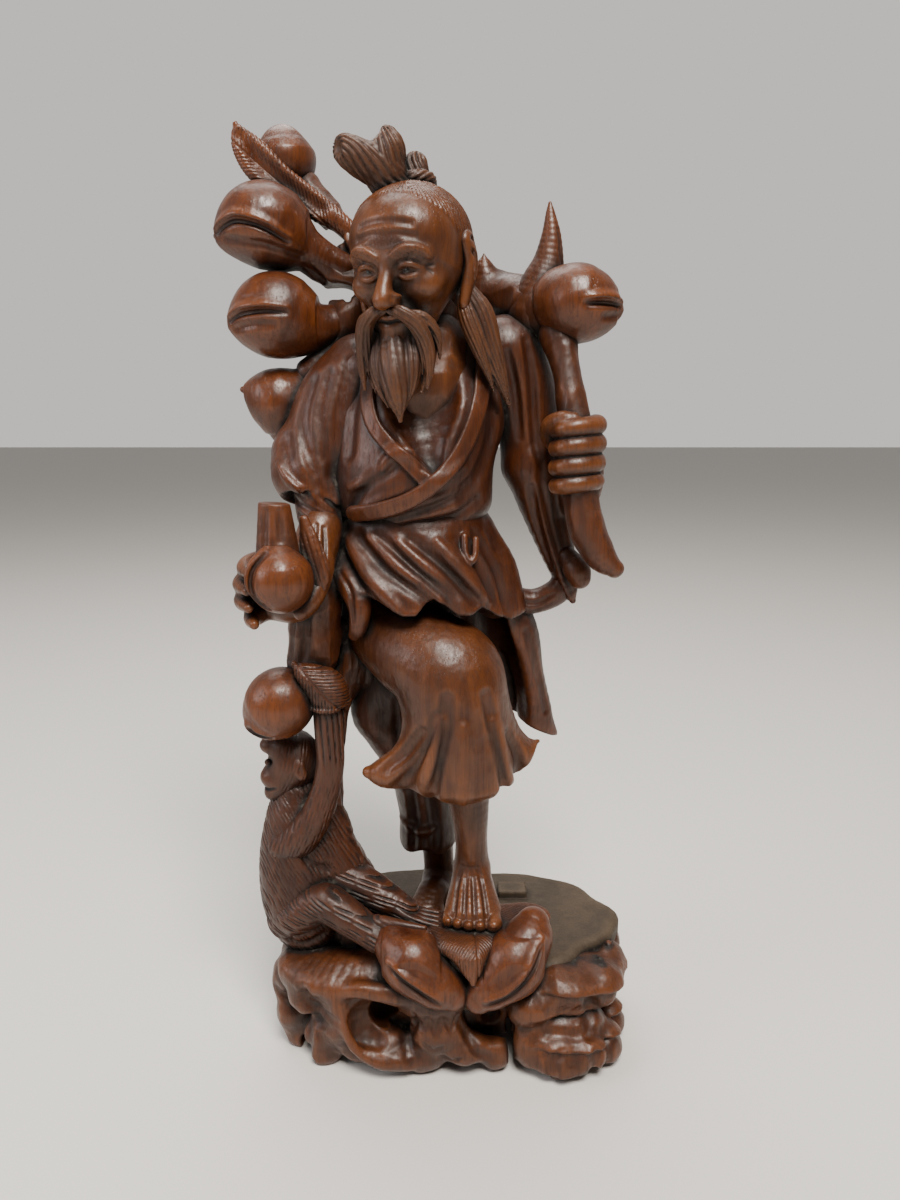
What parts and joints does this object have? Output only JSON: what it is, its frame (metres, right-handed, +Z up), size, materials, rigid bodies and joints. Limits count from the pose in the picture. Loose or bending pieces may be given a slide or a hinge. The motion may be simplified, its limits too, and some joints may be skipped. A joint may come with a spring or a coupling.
{
  "type": "carved wooden figurine",
  "caption": "Carved hardwood figurine of an old bearded man with a fruiting peach branch over his shoulders and a monkey at his side, standing on a pierced root base.",
  "frame": {"origin": "centre of the bounding box on the table that the feet of the base stand on", "axes": "+Z up along the height, the old man faces -Y, +X is to the right of somebody who looks at his face"},
  "size_m": [0.1376, 0.0872, 0.3052],
  "materials": {
    "robe": "red-brown carved hardwood, satin varnish",
    "skin": "warm brown carved hardwood, satin varnish worn on the raised parts",
    "hair": "brown carved hardwood with fine cut lines",
    "peach": "orange-brown carved hardwood, polished",
    "branch": "dark brown carved hardwood, satin varnish",
    "monkey": "brown carved hardwood with cut fur marks",
    "base": "dark red-brown carved hardwood, satin varnish",
    "disc": "dull olive-brown hardwood, matt",
    "eye": "very dark inlaid bead, glossy"
  },
  "bodies": {
    "root": {"base_core": "base", "base_disc": "disc", "base_left_peach": "peach", "base_right_peach": "peach", "beard": "hair", "branch_behind_neck": "branch", "branch_handle": "branch", "branch_leaf": "peach", "branch_thorn": "branch", "chest": "skin", "collar": "robe", "crack_root": "base", "foot_rock": "base", "front_left_root": "base", "front_leg": "skin", "front_right_root": "base", "front_root": "base", "front_trouser": "robe", "hair_knot": "hair", "hand_post": "branch", "head": "skin", "jacket_skirt": "robe", "left_ear": "skin", "left_eye": "eye", "left_hand": "skin", "left_root": "base", "left_side_lock": "hair", "left_sleeve": "robe", "lower_peach": "peach", "middle_peach": "peach", "monkey_body": "monkey", "monkey_far_leg": "monkey", "monkey_head": "monkey", "monkey_leaf": "monkey", "monkey_near_leg": "monkey", "monkey_peach": "peach", "monkey_raised_arm": "monkey", "moustache": "hair", "offered_peach": "peach", "peach_stalk": "branch", "rear_leg": "skin", "rear_root": "base", "rear_trouser": "robe", "right_ear": "skin", "right_eye": "eye", "right_hand": "skin", "right_root": "base", "right_sleeve": "robe", "robe_tail": "robe", "shoulder_peach": "peach", "sleeve_bridge": "robe", "sleeve_tassel": "branch", "standing_leaf": "base", "top_peach": "peach", "topknot": "hair", "torso": "robe", "tree_trunk": "branch", "upper_peach": "peach"}
  },
  "joints": []
}
